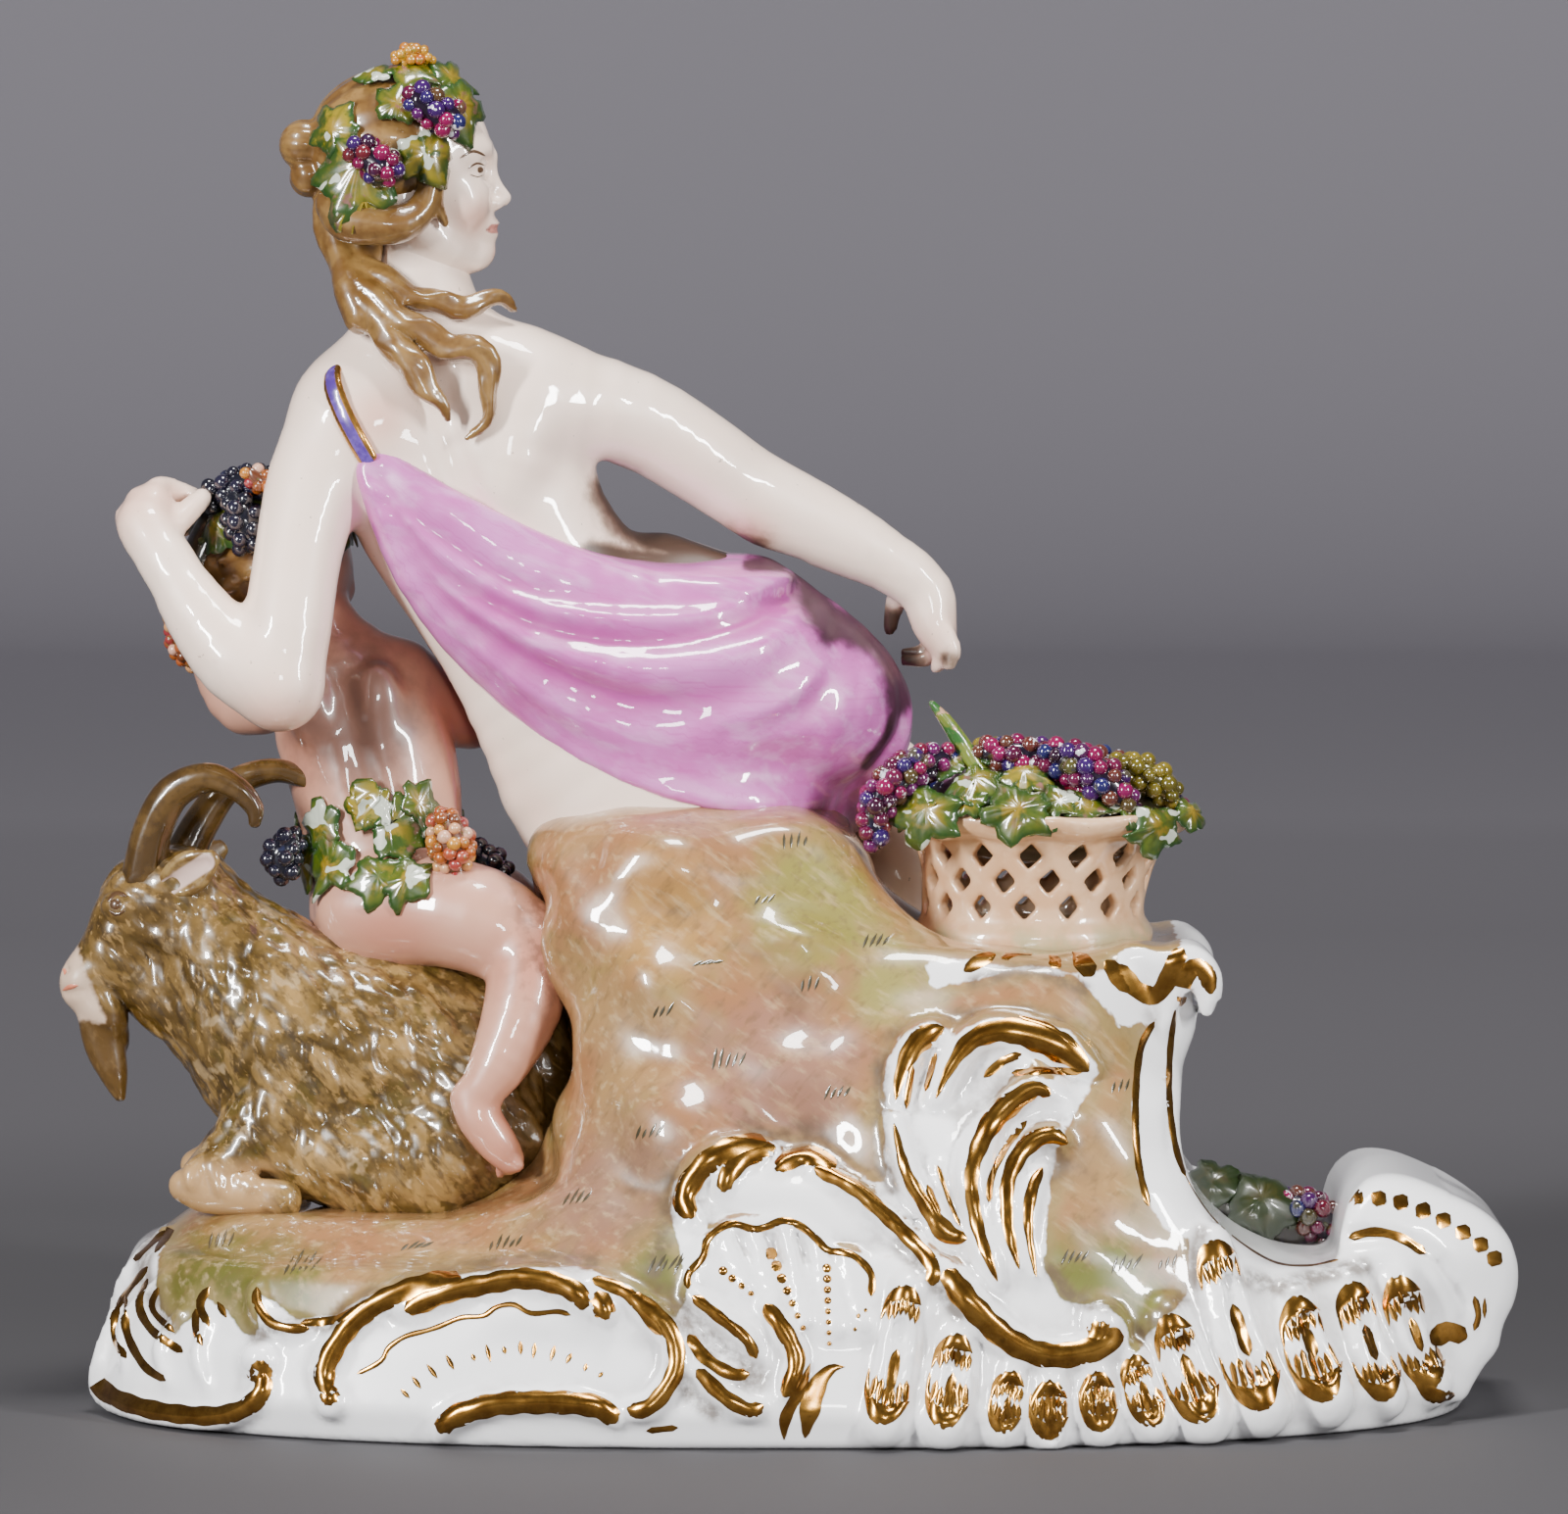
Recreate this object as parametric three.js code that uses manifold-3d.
// Porcelain figure group in millimetres, +Z up, origin under the middle of the underside.
// A draped nymph seen from behind sits on a rock and reaches for a pierced basket of grapes.
// Beside her a child rides a resting goat. All of it is fired as one piece with its scrolled base.
// +X runs from the goat to the basket, and the nymph's back faces -Y.

import * as THREE from "three";
import { mergeVertices } from "three/addons/utils/BufferGeometryUtils.js";
import Module from "manifold-3d";

const wasm = await Module();
wasm.setup();

// Driving dimensions
const BASE_HALF_LENGTH = 79;
const BASE_HALF_DEPTH = 42;
const BASE_RIM_HEIGHT = 19;
const PROW_TIP = 83.4;
const GROUND_HEIGHT = 23;
const LEDGE_HEIGHT = 53.5;
const SEAT_HEIGHT = 69;
const HOLLOW_CENTRE = [60, 34];
const HOLLOW_RADIUS = 15.6;
const BASKET_CENTRE = [30, 0];
const BASKET_HEIGHT = 14.5;
const LEAF_THICKNESS = 0.9;

const PORCELAIN = { color: 0xe9dfd4, roughness: 0.15, metalness: 0 };
const UP = new THREE.Vector3(0, 0, 1);

// Closed shapes

// A three.js geometry as a solid that can be joined and cut.
function solid(geometry) {
  const bare = geometry.index ? geometry.toNonIndexed() : geometry.clone();
  const points = new THREE.BufferGeometry().setAttribute("position", bare.getAttribute("position"));
  const merged = mergeVertices(points, 1e-4);
  return new wasm.Manifold(
    new wasm.Mesh({
      numProp: 3,
      vertProperties: merged.attributes.position.array,
      triVerts: new Uint32Array(merged.index.array),
    }),
  );
}

// Rings of equally many points, each joined to the next, with a point at either end.
function closedRings(rings, firstPole, lastPole) {
  const sides = rings[0].length;
  const positions = [...rings.flat(), firstPole, lastPole].flatMap((p) => [p.x, p.y, p.z]);
  const first = rings.length * sides;
  const index = [];
  for (let j = 0; j < sides; j++) {
    const next = (j + 1) % sides;
    const top = (rings.length - 1) * sides;
    index.push(first, next, j, first + 1, top + j, top + next);
    for (let i = 0; i < rings.length - 1; i++) {
      const [a, b] = [i * sides + j, i * sides + next];
      index.push(a, b, b + sides, a, b + sides, a + sides);
    }
  }
  return new THREE.BufferGeometry()
    .setAttribute("position", new THREE.Float32BufferAttribute(positions, 3))
    .setIndex(index);
}

// A tapered limb, lock of hair, cloth or scroll through stations [x, y, z, half width, half depth].
// depthAxis is the direction in which the half depth is measured, and turn starts each ring there.
// fold raises every second line along the limb, and tuft every second point in a staggered way.
function limb(stations, options = {}) {
  const { sides = 6, steps = 1, depthAxis = [0, 1, 0], turn = 0, fold = 0, tuft = 0 } = options;
  const path = new THREE.CatmullRomCurve3(stations.map(([x, y, z]) => new THREE.Vector3(x, y, z)));
  const depthDirection = new THREE.Vector3(...depthAxis);
  const spans = stations.length - 1;
  const sizeAt = (t) => {
    const i = Math.min(Math.floor(t * spans), spans - 1);
    const [a, b] = [stations[i], stations[i + 1]];
    const share = t * spans - i;
    return [3, 4].map((k) => THREE.MathUtils.lerp(a[k] ?? a[3], b[k] ?? b[3], share));
  };
  const rings = [];
  for (let i = 0; i <= spans * steps; i++) {
    const t = i / (spans * steps);
    const centre = path.getPoint(t);
    const along = path.getTangent(t);
    const deep = depthDirection.clone().addScaledVector(along, -depthDirection.dot(along)).normalize();
    const wide = new THREE.Vector3().crossVectors(deep, along);
    const [halfWidth, halfDepth] = sizeAt(t);
    rings.push(
      Array.from({ length: sides }, (_, j) => {
        const angle = turn + (2 * Math.PI * j) / sides;
        const swell = 1 + fold * (-1) ** j + tuft * (-1) ** (i + j);
        return centre
          .clone()
          .addScaledVector(wide, swell * halfWidth * Math.cos(angle))
          .addScaledVector(deep, swell * halfDepth * Math.sin(angle));
      }),
    );
  }
  const pole = (t, sign) =>
    path.getPoint(t).addScaledVector(path.getTangent(t), sign * 0.6 * Math.min(...sizeAt(t)));
  return solid(closedRings(rings, pole(0, -1), pole(1, 1)));
}

// A ball or egg with three half sizes, turned in the XZ plane by lean degrees.
function egg([x, y, z], [rx, ry, rz], { lean = 0, sides = 10, rows = 7 } = {}) {
  return solid(
    new THREE.SphereGeometry(1, sides, rows)
      .rotateX(Math.PI / 2)
      .scale(rx, ry, rz)
      .rotateY(THREE.MathUtils.degToRad(lean))
      .translate(x, y, z),
  );
}

// Two round limbs that look alike on both sides of a plane y = mid.
function pair(stations, mid, options) {
  const across = stations.map(([x, y, z, ...size]) => [x, 2 * mid - y, z, ...size]);
  return [limb(stations, options), limb(across, options)];
}

// A five-lobed vine leaf that lies on a surface with that outward normal, domed along its middle.
function vineLeaf(centre, normal, size, turn = 0) {
  const LOBES = 5;
  const [middle, outward] = [centre, normal].map((v) => new THREE.Vector3(...v));
  const rotation = new THREE.Quaternion().setFromUnitVectors(UP, outward.normalize());
  const place = (x, y, z) => new THREE.Vector3(x, y, z).applyQuaternion(rotation).add(middle);
  const rim = Array.from({ length: 2 * LOBES }, (_, i) => {
    const angle = turn + (Math.PI * i) / LOBES;
    const reach = i % 2 ? 0.6 * size : size;
    return place(reach * Math.cos(angle), reach * Math.sin(angle), 0);
  });
  return solid(closedRings([rim], place(0, 0, -2 * LEAF_THICKNESS), place(0, 0, LEAF_THICKNESS)));
}

// A bunch of grapes: staggered berries around a core that hangs along a direction and tapers.
function grapes([x, y, z], [dx, dy, dz], length = 6, radius = 3) {
  const along = new THREE.Vector3(dx, dy, dz).setLength(length);
  const across = Math.abs(along.z) > 0.7 * length ? [0, 1, 0] : [0, 0, 1];
  const at = (share, r) => [x + along.x * share, y + along.y * share, z + along.z * share, r];
  const stations = [at(0, 0.75 * radius), at(0.38, radius), at(0.75, 0.8 * radius), at(1, 0.4 * radius)];
  return limb(stations, { sides: 8, depthAxis: across, tuft: 0.17 });
}

// Base, ground and rock

// Levels are [z, half length, half depth, middle x]; between them everything is straight.
function levelAt(levels, z) {
  const last = levels.length - 1;
  const i = Math.max(0, Math.min(last - 1, levels.findIndex(([top]) => top > z) - 1));
  const k = z >= levels[last][0] ? last - 1 : i;
  const share = THREE.MathUtils.clamp((z - levels[k][0]) / (levels[k + 1][0] - levels[k][0]), 0, 1);
  return levels[k].map((value, n) => THREE.MathUtils.lerp(value, levels[k + 1][n], share));
}

// Half depth of a level at x: a rounded rectangle of the given squareness.
function halfDepthAt([, halfLength, halfDepth, middle], x, squareness) {
  const share = Math.min(1, Math.abs(x - middle) / halfLength);
  return halfDepth * (1 - share ** squareness) ** (1 / squareness);
}

const BASE_SQUARENESS = 2.4;
const BASE_LEVELS = [
  [0, BASE_HALF_LENGTH - 1.5, BASE_HALF_DEPTH - 1.5, 0],
  [4, BASE_HALF_LENGTH, BASE_HALF_DEPTH, 0],
  [10, BASE_HALF_LENGTH - 2, BASE_HALF_DEPTH - 1.5, 0],
  [BASE_RIM_HEIGHT, BASE_HALF_LENGTH - 6, BASE_HALF_DEPTH - 5, -1],
];
const ROCK_SQUARENESS = 3.5;
const ROCK_LEVELS = [
  [15, 52, 38, 4],
  [28, 41, 34, 13],
  [40, 35, 28, 11],
  [LEDGE_HEIGHT - 2, 34, 22, 11],
  [LEDGE_HEIGHT, 33, 20, 11],
];
const SEAT_LEVELS = [
  [20, 30, 32, 0],
  [34, 22, 27, 1],
  [50, 21, 22, -5],
  [62, 19, 18.5, -9],
  [SEAT_HEIGHT, 15, 14, -9],
];

// A stack of rounded-rectangle levels as one mound; roughness moves every second point in or out.
function mound(levels, squareness, sides, roughness = 0) {
  const rings = levels.map(([z, halfLength, halfDepth, middle], i) =>
    Array.from({ length: sides }, (_, j) => {
      const angle = (2 * Math.PI * j) / sides;
      const [c, s] = [Math.cos(angle), Math.sin(angle)];
      const reach = (Math.abs(c) ** squareness + Math.abs(s) ** squareness) ** (-1 / squareness);
      const swell = reach * (1 + roughness * Math.sin(4.1 * j + 2.3 * i));
      return new THREE.Vector3(middle + halfLength * swell * c, halfDepth * swell * s, z);
    }),
  );
  const [low, high] = [levels[0], levels.at(-1)];
  const [foot, crown] = [new THREE.Vector3(low[3], 0, low[0]), new THREE.Vector3(high[3], 0, high[0])];
  return solid(closedRings(rings, foot, crown));
}

// Depth of the long wall behind a relief at that place. Above the rim a relief leans inwards.
function wallDepth(x, z) {
  const LEAN = 0.7;
  const rim = halfDepthAt(levelAt(BASE_LEVELS, Math.min(z, BASE_RIM_HEIGHT)), x, BASE_SQUARENESS);
  const base = rim - LEAN * Math.max(0, z - BASE_RIM_HEIGHT);
  const rock = z > ROCK_LEVELS[0][0] ? halfDepthAt(levelAt(ROCK_LEVELS, z), x, ROCK_SQUARENESS) : 0;
  return Math.max(base, rock);
}

function baseSolids() {
  const [hx, hz] = HOLLOW_CENTRE;
  const hollow = solid(
    new THREE.CylinderGeometry(HOLLOW_RADIUS, HOLLOW_RADIUS, 4 * BASE_HALF_DEPTH, 18).translate(hx, 0, hz),
  );
  const ground = [
    [BASE_RIM_HEIGHT - 3, 66, 32, -8],
    [GROUND_HEIGHT, 56, 24, -12],
  ];
  const body = wasm.Manifold.union([
    mound(BASE_LEVELS, BASE_SQUARENESS, 28, 0.006),
    mound(ground, BASE_SQUARENESS, 12),
    mound(ROCK_LEVELS, ROCK_SQUARENESS, 14, 0.012),
    mound(SEAT_LEVELS, ROCK_SQUARENESS, 12, 0.03),
  ]);
  return [body.subtract(hollow)];
}

// Scrolls, shell and leaves in relief on both long walls

// Each ridge runs through [x, z, radius].
const RIDGES = [
  // left end: a wide C that opens upwards and curls in at its right
  [[-72, 22, 1.4], [-78.5, 13, 2], [-77, 6, 2.2], [-69, 3, 2.4], [-60.5, 4.5, 2.6], [-57, 11, 1.8]],
  // the long cartouche: its outer C, the heel at its right and the bar at its foot
  [[-49, 5, 2.4], [-50, 12, 1.6], [-43, 18, 1.6], [-31, 21, 1.9], [-22.5, 20, 1.6]],
  [[-23.5, 15, 1.6], [-21, 20.5, 1.8], [-13, 16, 2], [-12, 9.5, 2], [-17, 4, 1.4]],
  [[-39, 2.5, 1.7], [-33, 6.5, 1.5], [-25, 7, 1.5], [-18, 3, 1.6]],
  // the shell's crest, its ribs and its curling foot
  [[-11.5, 26, 1.8], [-8, 32, 1.8], [0, 34, 1.8], [8, 30, 2], [15, 21, 2.2], [18.5, 14, 1.2]],
  [[-3, 15, 1], [-7, 24.5, 1.4]],
  [[1.5, 15, 1], [4, 25.5, 1.4]],
  [[3.5, 14, 1], [8.5, 20.5, 1.4]],
  [[-9.5, 17.5, 1.5], [-4, 15, 2.1], [-1.5, 9.5, 2.2], [3, 3.5, 2.2]],
  // the tall plume on the rock and the volute that it springs from
  [[15, 47, 1.8], [11.5, 39, 2.2], [12.5, 29, 2.2], [19, 19, 2]],
  [[18, 44, 1.4], [25, 49, 2.6], [33, 46.5, 2.6], [35.5, 41, 1.4]],
  [[33.5, 37.5, 1.6], [27, 36.5, 2.2], [23.5, 28, 2.2], [25, 17, 1.6]],
  [[34.5, 30, 1.6], [29.5, 29, 1.8], [28, 20, 1.2]],
  [[19, 18, 1.4], [24, 11.5, 2.2], [32, 9.5, 2.4], [38.5, 13, 2.8]],
];
// Ridges of the plainer far wall, which mirrors the near one
const FAR_RIDGES = RIDGES.filter((_, i) => [0, 1, 2, 4, 8, 9, 10, 13].includes(i));
// Leaning lobes along the foot of the right half: [x, low z, high z, radius]
const FOOT_LOBES = [
  [9.5, 3, 18, 2.4],
  [16, 3, 13, 2.2],
  [23, 2, 8, 2.2],
  [30, 2, 7, 2.2],
  [37, 3, 8, 2.2],
  [44, 4, 14, 2.5],
  [51, 5, 20, 3],
  [58, 5, 15, 2.8],
  [65, 6, 17, 2.8],
];

// A ridge with a three-sided section whose edge points out; side is -1 for the near wall.
function ridge(points, side) {
  const BURIED = 0.1;
  const stations = points.map(([x, z, r]) => [x, side * (wallDepth(x, z) + BURIED * r), z, r]);
  return limb(stations, { sides: 3, steps: points.length > 3 ? 2 : 1, turn: (-side * Math.PI) / 6 });
}

function reliefSolids() {
  const SLANT = 0.12;
  const lobe = ([x, low, high, r]) => {
    const shift = SLANT * (high - low);
    return [[x + shift, low, 0.8 * r], [x, (low + high) / 2, r], [x - shift, high, 0.6 * r]];
  };
  return [
    ...[...RIDGES, ...FOOT_LOBES.map(lobe)].map((points) => ridge(points, -1)),
    ...[...FAR_RIDGES, ...FOOT_LOBES.map(lobe)].map((points) => ridge(points, 1)),
  ];
}

// The rolled lip of the ledge and the curled prow at the right end
function prowSolids() {
  const PROW_HALF_DEPTH = 22;
  const PROW_TIP_HALF_DEPTH = 13;
  // Outline seen from the side: up from the hollow, over the curl and down to the base
  const curl = [
    [58, 2],
    [62, 18.4],
    [63.4, 23],
    [65.8, 27.4],
    [69, 28.7],
    [77.4, 25],
    [82, 20.6],
    [PROW_TIP, 14.8],
    [81.4, 9.4],
    [78, 7.4],
    [77, 2],
  ].map(([x, z]) => new THREE.Vector2(x, z));
  const slab = new THREE.ExtrudeGeometry(new THREE.Shape(curl), { depth: 2, bevelEnabled: false });
  const prow = slab.translate(0, 0, -1).rotateX(Math.PI / 2);
  // It narrows towards its tip.
  const outline = prow.getAttribute("position");
  for (let i = 0; i < outline.count; i++) {
    const reach = (outline.getX(i) - curl[0].x) / (PROW_TIP - curl[0].x);
    outline.setY(i, outline.getY(i) * THREE.MathUtils.lerp(PROW_HALF_DEPTH, PROW_TIP_HALF_DEPTH, reach ** 2));
  }
  const roll = ([x, z, r], halfDepth) =>
    limb([[x, -halfDepth, z, r], [x, halfDepth, z, r]], { sides: 7, depthAxis: [0, 0, 1] });
  return [
    roll([47.5, 48.5, 2.3], 15),
    roll([43.5, 51.2, 2.4], 15),
    roll([71, 20.5, 3], PROW_HALF_DEPTH - 1.5),
    solid(prow),
  ];
}

// Pierced basket

const COLUMNS = 12;
// Rows of diamonds: [height, share of a column by which the row is shifted, count]; the far side has one row
const ROWS = [
  [4.5, 0.25, COLUMNS / 2],
  [7.6, 0.75, COLUMNS],
  [10.7, 0.25, COLUMNS / 2],
];

// A place on the basket's wall: its column, its height and how far out of the wall's face.
function onBasket(column, height, out = 0) {
  const angle = (2 * Math.PI * column) / COLUMNS;
  const reach = 12.8 + 3.8 * Math.max(0, height / BASKET_HEIGHT) ** 3 + out;
  const [bx, by] = BASKET_CENTRE;
  return [bx + reach * Math.cos(angle), by + 0.86 * reach * Math.sin(angle), LEDGE_HEIGHT + height];
}

// The whole wall, cut flat with its diamonds and then bent round until its ends meet.
function basketSolids() {
  const WALL = 1.6;
  const SUNK = 1;
  const HALF_DIAMOND = [0.19, 1.45];
  const edge = (height) => Array.from({ length: COLUMNS + 1 }, (_, i) => new THREE.Vector2(i, height));
  const sheet = new THREE.Shape([...edge(-SUNK), ...edge(BASKET_HEIGHT).reverse()]);
  for (const [height, shift, count] of ROWS)
    for (let i = 0; i < count; i++) {
      const corners = Array.from({ length: 4 }, (_, k) => {
        const angle = (Math.PI * k) / 2;
        const [u, h] = [HALF_DIAMOND[0] * Math.cos(angle), HALF_DIAMOND[1] * Math.sin(angle)];
        return new THREE.Vector2(COLUMNS - 1 - i + shift + u, height + h);
      });
      sheet.holes.push(new THREE.Path(corners));
    }
  const plate = new THREE.ExtrudeGeometry(sheet, { depth: WALL, bevelEnabled: false });
  const flat = plate.getAttribute("position");
  const bent = [];
  for (let i = 0; i < flat.count; i += 3) {
    const corners = [i, i + 1, i + 2].map((k) => [flat.getX(k), flat.getY(k), flat.getZ(k)]);
    // the two end faces meet and vanish
    const isEnd = corners.every(([u]) => u === 0) || corners.every(([u]) => u === COLUMNS);
    if (!isEnd) bent.push(...corners.flatMap(([u, h, depth]) => onBasket(u, h, -depth)));
  }
  const wall = new THREE.Float32BufferAttribute(bent, 3);
  return [solid(new THREE.BufferGeometry().setAttribute("position", wall))];
}

// The heap that closes the basket
function basketFruit() {
  const [x, y] = BASKET_CENTRE;
  const z = LEDGE_HEIGHT + BASKET_HEIGHT;
  const stem = [
    [x - 6, y - 5, z + 2, 1.2],
    [x - 8, y - 5.5, z + 6.5, 1],
    [x - 9.5, y - 6, z + 9.5, 0.5],
  ];
  return [
    mound(
      [[-1.2, 14.2, 12, x], [2.6, 12.5, 10.4, x], [4.6, 7, 6, x]].map(([h, ...size]) => [z + h, ...size]),
      2,
      12,
      0.03,
    ),
    grapes([x + 1, y - 6.5, z + 3.2], [1, -0.3, -0.2], 9, 3.4),
    grapes([x - 11.5, y - 6, z + 2.6], [-0.7, -0.5, -1], 9, 3.2),
    grapes([x + 3, y + 5, z + 3], [1, 0.4, -0.2], 8, 3.2),
    vineLeaf([x - 9, y - 10.5, z - 0.5], [-0.3, -1, 0.5], 5.4, 0.3),
    vineLeaf([x + 0.5, y - 12, z - 0.6], [0, -1, 0.7], 3.8, 0.9),
    vineLeaf([x + 11, y - 9.5, z - 1.5], [0.4, -1, 0.3], 3.6, 0.2),
    vineLeaf([x - 4, y - 6, z + 3.4], [-0.2, -0.4, 1], 4.6),
    vineLeaf([x - 6, y + 9, z - 0.2], [-0.3, 1, 0.7], 5, 1),
    limb(stem, { sides: 4 }),
  ];
}

// Leaves and grapes lying in the hollow
function hollowFruit() {
  const [x] = HOLLOW_CENTRE;
  const z = HOLLOW_CENTRE[1] - HOLLOW_RADIUS;
  return [
    limb([[x - 11, 4, z + 5, 3.4], [x - 3, 5, z + 1.5, 4.2], [x + 4, 4, z + 1, 3.4]], { sides: 6 }),
    vineLeaf([x - 9.5, 0.5, z + 7], [-0.4, -0.6, 1], 4.6, 0.4),
    vineLeaf([x - 3, 0, z + 4.6], [0, -0.5, 1], 4.4, 0.9),
    grapes([x, 3, z + 4], [1, -0.1, -0.1], 8, 2.8),
  ];
}

// Nymph

function nymphSolids() {
  const torso = [
    [-8, 3, 62, 14, 13],
    [-15.5, 3, 73, 17, 13.5],
    [-22, 2, 82, 14.6, 11],
    [-28, 1.5, 91, 13.2, 9.2],
    [-35.5, 0.8, 104, 14.2, 9.6],
    [-39, 0.5, 113, 14, 8.4],
    [-40, 0.5, 119, 9.5, 6],
    [-40.5, 1, 123.5, 5.4, 5.2],
    [-41.2, 1.6, 132, 4.8, 4.8],
  ];
  const rightArm = [
    [-29, 1, 114.5, 7.6],
    [-17.5, 3, 112.6, 5.8],
    [-4.5, 7, 103.8, 5.3],
    [7.8, 8, 98, 4.3],
    [14, 8, 94.8, 3.1],
  ];
  const leftArm = [
    [-49, 0, 113.5, 6.4],
    [-53.5, -4, 105, 5.7],
    [-55.5, -9, 94, 4.8],
    [-57.5, -11.5, 82.5, 4.9],
    [-65, -10, 88.5, 4.3],
    [-70.4, -6, 97.5, 2.9],
  ];
  return [
    limb(torso, { sides: 10 }),
    limb(rightArm, { sides: 7 }),
    limb(leftArm, { sides: 7 }),
    ...rightHand(),
    ...leftHand(),
    ...legSolids(),
  ];
}

// A finger through its joints, thinner towards the tip.
function finger(joints, r) {
  return limb(joints.map((p, i) => [...p, r * (1 - 0.12 * i)]), { sides: 4 });
}

function rightHand() {
  return [
    limb([[13.5, 8, 95, 2.8, 2.6], [17.4, 8, 91, 3, 3.6], [19, 8, 84, 1.4, 2.8]], { sides: 6 }),
    finger([[18, 10.4, 88], [14.5, 10, 83.8]], 1.6),
    finger([[14.5, 10, 93.5], [10.8, 11, 88]], 1.5),
  ];
}

function leftHand() {
  return [
    limb([[-70.4, -6, 97.5, 2.9], [-72.4, -3, 101.5, 3.4, 3.4], [-71.5, 0, 104, 2.4, 3]], { sides: 6 }),
    finger([[-74, -1, 102], [-73.5, 3, 104], [-68.5, 5.5, 103.4]], 1.7),
    finger([[-70.5, -4, 100.5], [-66, 1.5, 103]], 1.5),
  ];
}

// The bare shins come out from under the drapery and down the far side of the rock.
function legSolids() {
  const leg = (knee, ankle) => {
    const stations = [
      [...knee, 6.2],
      [(knee[0] + ankle[0]) / 2, 31.5, 48, 4.8],
      [...ankle, 2.8],
      [ankle[0] + 2, ankle[1] + 4, GROUND_HEIGHT + 1.6, 2.4],
      [ankle[0] + 3, ankle[1] + 8, GROUND_HEIGHT + 0.4, 1.5],
    ];
    return limb(stations, { depthAxis: [1, 0, 0] });
  };
  return [leg([11, 28, 69], [19, 31, GROUND_HEIGHT + 5]), leg([-13, 30, 69], [-12, 31, GROUND_HEIGHT + 5])];
}

function headSolids() {
  return [
    // skull, then cheeks and jaw, nose and chin
    egg([-43, 1.5, 143], [9.3, 8.2, 9.4], { sides: 10, rows: 6 }),
    egg([-38.3, 1.5, 138], [5.6, 6.4, 8.4], { lean: -8, sides: 8, rows: 6 }),
    limb([[-33.6, 1.5, 142, 0.9], [-31.8, 1.5, 138.2, 1.3]], { sides: 4 }),
    egg([-34.8, 1.5, 131.6], [2, 2.4, 1.9], { sides: 6, rows: 4 }),
  ];
}

function hairSolids() {
  // The ponytail, the locks that spread from it over the back, and the side hair
  const locks = [
    [[-51, 1, 139, 3.4], [-51.5, 0, 133, 3.2], [-48, -3.5, 125, 3.7], [-42, -7, 120, 2]],
    [[-47, -5, 124, 2.6], [-41.5, -8.6, 118, 2.2], [-38.8, -9.6, 112.6, 0.7]],
    [[-44, -5.5, 124.5, 2.4], [-36, -8, 121, 2.2], [-32.8, -9, 116, 1.5], [-35, -9.2, 111.2, 0.5]],
    [[-47.5, -3, 128.5, 2.2], [-39, -5, 125.4, 1.9], [-30.5, -2.5, 126, 0.8]],
    [[-49, -5, 141, 3], [-43, -8, 136.5, 2.4], [-35.5, -7.4, 135, 0.8]],
  ];
  return [
    egg([-44.8, 1.5, 143.8], [9, 9.2, 8.8], { sides: 12, rows: 6 }),
    egg([-54.6, 0.5, 144.2], [2.9, 3.2, 2.8], { sides: 6, rows: 4 }),
    egg([-54, 0.5, 140.2], [2.2, 2.6, 2.4], { sides: 6, rows: 4 }),
    ...locks.map((stations) => limb(stations, { sides: 5 })),
  ];
}

function wreathSolids() {
  return [
    vineLeaf([-48, -6.6, 142], [-0.4, -1, 0.2], 6.4, 0.2),
    vineLeaf([-36.5, -5, 148.5], [0.6, -1, 0.5], 5.4, 0.5),
    vineLeaf([-41, -3, 153], [0.1, -0.3, 1], 4.8, 0.1),
    vineLeaf([-44, 9.3, 144], [-0.1, 1, 0.2], 5.8, 0.4),
    vineLeaf([-37.5, 8.6, 149], [0.6, 1, 0.4], 4.8, 1),
    grapes([-48, -8.4, 145], [0.6, -0.1, -1], 7, 3.2),
    grapes([-43, -8, 150], [1, 0, -0.4], 8, 3),
    grapes([-42, 8, 150], [1, 0.1, -0.6], 7, 2.8),
    grapes([-44.5, -1, 153], [1, 0.2, 0.05], 6, 2.2),
  ];
}

// Drapery: a cloth over the hip whose folds fan out from the knot behind the left shoulder
function draperySolids() {
  const cloth = [
    [-47.5, -6, 108, 1.2, 2],
    [-43, -4, 103, 4.2, 6],
    [-36, -2.4, 95, 8, 9],
    [-22, 0, 86, 12, 12.6],
    [-7, 3, 82.5, 13.5, 14.4],
    [4, 8, 80, 11, 12.5],
    [9, 13, 77, 7, 9],
  ];
  const fall = [
    [-2, 24, 73, 13, 6],
    [-1, 30, 62, 11, 4],
    [0, 32, 44, 12, 3],
  ];
  const bodice = [
    [-44, 7, 108, 6, 4],
    [-36, 8.2, 101, 9.5, 4.4],
    [-25, 8, 91, 11, 4.5],
    [-12, 9, 80, 12, 7],
  ];
  const strap = [
    [-46, -7.6, 108, 1.8, 0.9],
    [-50, -5, 115, 1.8, 0.9],
    [-50, 2, 118, 1.8, 0.9],
    [-46, 8.5, 109, 1.8, 0.9],
  ];
  return [
    limb(cloth, { sides: 18, fold: 0.07 }),
    // lap over the thighs, the fall of cloth in front of the rock, the bodice and the shoulder strap
    egg([-3, 17, 70], [19, 17, 9.5], { sides: 9, rows: 5 }),
    limb(fall, { sides: 10, fold: 0.12 }),
    limb(bodice, { sides: 8 }),
    limb(strap, { sides: 4, depthAxis: [-0.4, -1, 0.4] }),
  ];
}

// Child on the goat, turned towards the nymph

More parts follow.
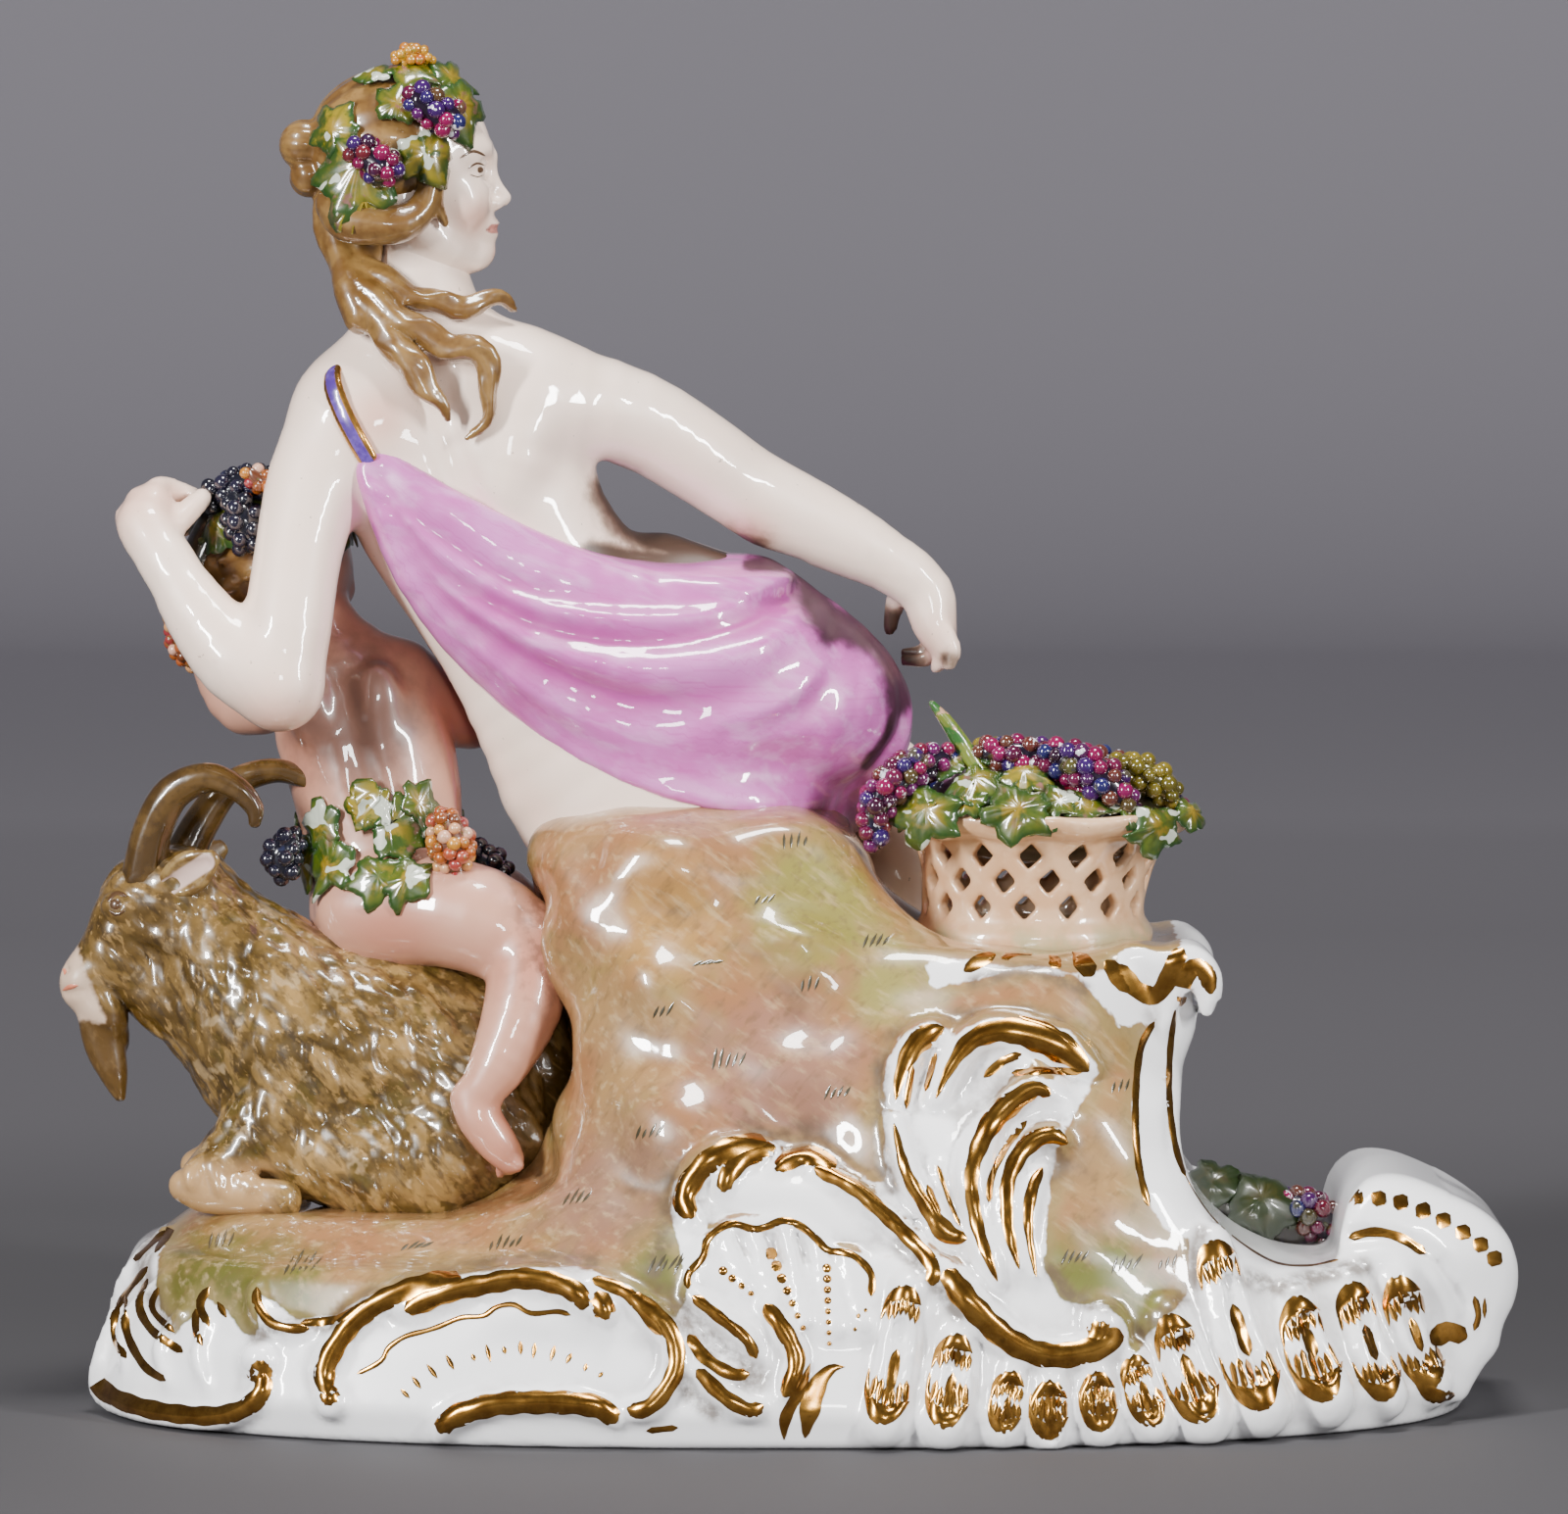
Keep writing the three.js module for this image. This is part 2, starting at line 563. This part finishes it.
function childSolids() {
  const back = [
    [-45.5, 3, 55.5, 9, 8],
    [-45.8, 4, 63, 9.2, 8],
    [-47, 5.5, 72, 9.6, 8.2],
    [-50, 6, 80, 9.2, 7],
    [-52.5, 6.5, 86, 5.5, 4.8],
    [-54.5, 7, 91, 4.2, 4.2],
  ];
  return [
    limb(back, { sides: 9 }),
    egg([-45.2, -2.5, 57.5], [8, 5, 5.5], { sides: 8, rows: 5 }),
    // head with its face towards the nymph
    egg([-58, 7.5, 96.5], [8.4, 8.2, 8.8], { sides: 9, rows: 6 }),
    egg([-53.5, 11.5, 94.5], [4.6, 5, 5.2], { sides: 6, rows: 5 }),
    // near leg: thigh, shin and foot; the far leg hangs on the goat's other side
    limb([[-43, -2, 57.5, 6.2], [-35, -5, 56, 5.8], [-28, -7.4, 52, 5.2]], { sides: 7 }),
    limb([[-28, -7.4, 52, 5], [-31.4, -11.4, 43, 4], [-34.2, -12.8, 36, 2.6]], { sides: 7 }),
    limb([[-35.4, -12.8, 36.6, 2.1], [-33, -13.2, 31.7, 2], [-30.6, -13.4, 28, 1.3]], { sides: 5 }),
    limb([[-43, 10, 57.5, 6.2], [-32, 15.5, 54, 5.6], [-30, 18, 43, 4], [-33, 18, 33, 2.2]], { sides: 6 }),
    // right arm reaches to the nymph's side, left arm is raised towards the wreath
    limb([[-44, 7, 83, 4.2], [-37, 11, 78, 3.8], [-31, 15, 79, 3]], { sides: 6 }),
    limb([[-57, 9, 82, 4.4], [-63, 13, 80, 3.8], [-66, 14, 87, 2.8], [-67, 11, 94, 2]], { sides: 6 }),
  ];
}

// Leaves in a ring about an upright middle: [x, y, z], half sizes across and leaf size.
function leafRing([x, y, z], [rx, ry], size, count, slope) {
  return Array.from({ length: count }, (_, i) => {
    const angle = (2 * Math.PI * (i + 0.3)) / count;
    const [c, s] = [Math.cos(angle), Math.sin(angle)];
    return vineLeaf([x + rx * c, y + ry * s, z + 1.5 * Math.sin(3 * angle)], [c, s, slope], size, i);
  });
}

function childLeaves() {
  return [
    ...leafRing([-46, 4.5, 65.5], [8.8, 7.8], 5.8, 6, 0.15),
    grapes([-39, -4.6, 68], [0.5, -0.2, -0.8], 7, 3.2),
    grapes([-55, 0, 66.5], [-0.5, -0.3, -0.8], 6, 2.8),
    ...leafRing([-59, 7.2, 99.5], [6.9, 6.9], 5.8, 5, 0.5),
    grapes([-66, 3, 103], [0.8, -0.3, -0.6], 7, 3),
    limb([[-66, 4, 97, 2.4], [-68.5, 2.5, 91, 3], [-68, 2, 85, 2]], { sides: 6, tuft: 0.15 }),
  ];
}

// Goat lying with its legs folded

function goatSolids() {
  const body = [
    [-25, 5, 33.5, 7, 7],
    [-33, 4, 36.5, 13.4, 13.5],
    [-40, 3, 37.8, 14, 13.5],
    [-47, 2, 38.8, 14.2, 13.5],
    [-54, 0.5, 40.6, 13.2, 12.2],
    [-60, -0.6, 46, 11.2, 9.6],
    [-65, -1, 52.4, 8.2, 7.2],
    [-70, -1, 57.5, 6.6, 5.6],
  ];
  const head = [
    [-69, -1, 59.5, 4, 4],
    [-73.5, -1.2, 57, 5.8, 4.8],
    [-78, -1.4, 51.5, 4, 3.4],
    [-81, -1.5, 46.5, 2.8, 2.6],
  ];
  const nearHorn = [
    [-72.8, -3.5, 61, 2.6],
    [-71.6, -4, 67.5, 2.2],
    [-67.2, -5, 72, 1.9],
    [-62.4, -6, 71.4, 1.4],
    [-59.8, -6.5, 67.6, 0.9],
  ];
  const farHorn = [
    [-69, 1.5, 62, 2.5],
    [-65.5, 2.2, 67.5, 2.1],
    [-60, 2, 72.6, 1.6],
    [-54.6, 1, 71.4, 1.1],
  ];
  const ear = [
    [-71, -4.5, 59.5, 1.4, 1],
    [-68.4, -6.5, 61.5, 2.4, 1],
    [-66, -8, 63, 1, 0.6],
  ];
  return [
    limb(body, { sides: 12, tuft: 0.045 }),
    limb(head, { sides: 7 }),
    limb([[-78.8, -1.5, 45, 2.8], [-77.5, -1.5, 40, 2.3], [-75.4, -1.5, 35.2, 0.8]], { sides: 5 }),
    limb(nearHorn, { sides: 5 }),
    limb(farHorn, { sides: 5 }),
    ...pair(ear, -1, { sides: 4 }),
    // folded forelegs, then thighs and hind hooves, then the tail
    ...pair([[-59, -5, 36, 6], [-68.4, -8.5, 26, 3]], 1, { sides: 6 }),
    ...pair([[-69, -8.5, 25, 2.6], [-53, -9.5, 24.5, 2.6]], 1, { sides: 5 }),
    ...pair([[-33, -5, 34, 9, 6], [-44, -11, 25.4, 4, 3.4]], 3.5, { sides: 6 }),
    limb([[-26, 5, 38, 2.4], [-22.5, 5.5, 42, 1.9], [-22, 5.5, 46, 0.7]], { sides: 4 }),
  ];
}

const joined = wasm.Manifold.union([
  ...baseSolids(),
  ...reliefSolids(),
  ...prowSolids(),
  ...basketSolids(),
  ...basketFruit(),
  ...hollowFruit(),
  ...nymphSolids(),
  ...headSolids(),
  ...hairSolids(),
  ...wreathSolids(),
  ...draperySolids(),
  ...childSolids(),
  ...childLeaves(),
  ...goatSolids(),
]);

// Crossing shapes cut each other into slivers. A point moves onto a neighbour and vanishes wherever
// that moves the surface by less than the limit.
function withoutSlivers({ vertProperties, triVerts }, limit) {
  const points = Array.from({ length: vertProperties.length / 3 }, (_, i) =>
    new THREE.Vector3().fromArray(vertProperties, 3 * i),
  );
  const cornersOf = (f) => [...triVerts.subarray(3 * f, 3 * f + 3)];
  const faces = Array.from({ length: triVerts.length / 3 }, (_, f) => cornersOf(f));
  const facesAt = points.map(() => new Set());
  faces.forEach((corners, f) => corners.forEach((v) => facesAt[v].add(f)));
  const neighbours = (v) => new Set([...facesAt[v]].flatMap((f) => faces[f]).filter((u) => u !== v));
  const triangle = (corners) => new THREE.Triangle(...corners.map((v) => points[v]));

  // How far the surface moves when v goes to u, or Infinity where a face would turn over or a fin appear.
  const change = (v, u) => {
    const shared = [...neighbours(u)].filter((w) => neighbours(v).has(w));
    if (shared.length !== 2) return Infinity;
    let most = 0;
    for (const f of facesAt[v]) {
      if (faces[f].includes(u)) continue;
      const before = triangle(faces[f]);
      const after = triangle(faces[f].map((w) => (w === v ? u : w)));
      const plane = before.getPlane(new THREE.Plane());
      const turned = plane.normal.dot(after.getNormal(new THREE.Vector3()));
      if (after.getArea() < 1e-4 || turned < 0.3) return Infinity;
      most = Math.max(most, Math.abs(plane.distanceToPoint(points[u])));
    }
    return most;
  };

  const PASSES = 4;
  for (let pass = 0; pass < PASSES; pass++)
    for (let v = 0; v < points.length; v++) {
      const options = [...neighbours(v)].map((u) => [change(v, u), u]);
      if (!options.length) continue;
      const [least, u] = options.reduce((a, b) => (a[0] <= b[0] ? a : b));
      if (least > (limit * (pass + 1)) / PASSES) continue;
      for (const f of facesAt[v]) {
        if (faces[f].includes(u)) {
          faces[f].forEach((w) => w !== v && facesAt[w].delete(f));
          faces[f] = [];
        } else {
          faces[f] = faces[f].map((w) => (w === v ? u : w));
          facesAt[u].add(f);
        }
      }
      facesAt[v].clear();
    }
  const kept = faces.filter((corners) => corners.length);
  const positions = kept.flat().flatMap((v) => points[v].toArray());
  return new THREE.BufferGeometry().setAttribute("position", new THREE.Float32BufferAttribute(positions, 3));
}

// The outer skin alone, without the small pockets that crossing shapes close in.
const skin = joined.decompose().reduce((a, b) => (a.volume() > b.volume() ? a : b));
const FINEST = 0.13;
const geometry = mergeVertices(withoutSlivers(skin.getMesh(), FINEST), 1e-4);
geometry.computeVertexNormals();

const figureGroup = new THREE.Mesh(geometry, new THREE.MeshStandardMaterial(PORCELAIN));
figureGroup.name = "figure_group";

const group = new THREE.Group();
group.add(figureGroup);
export default group;
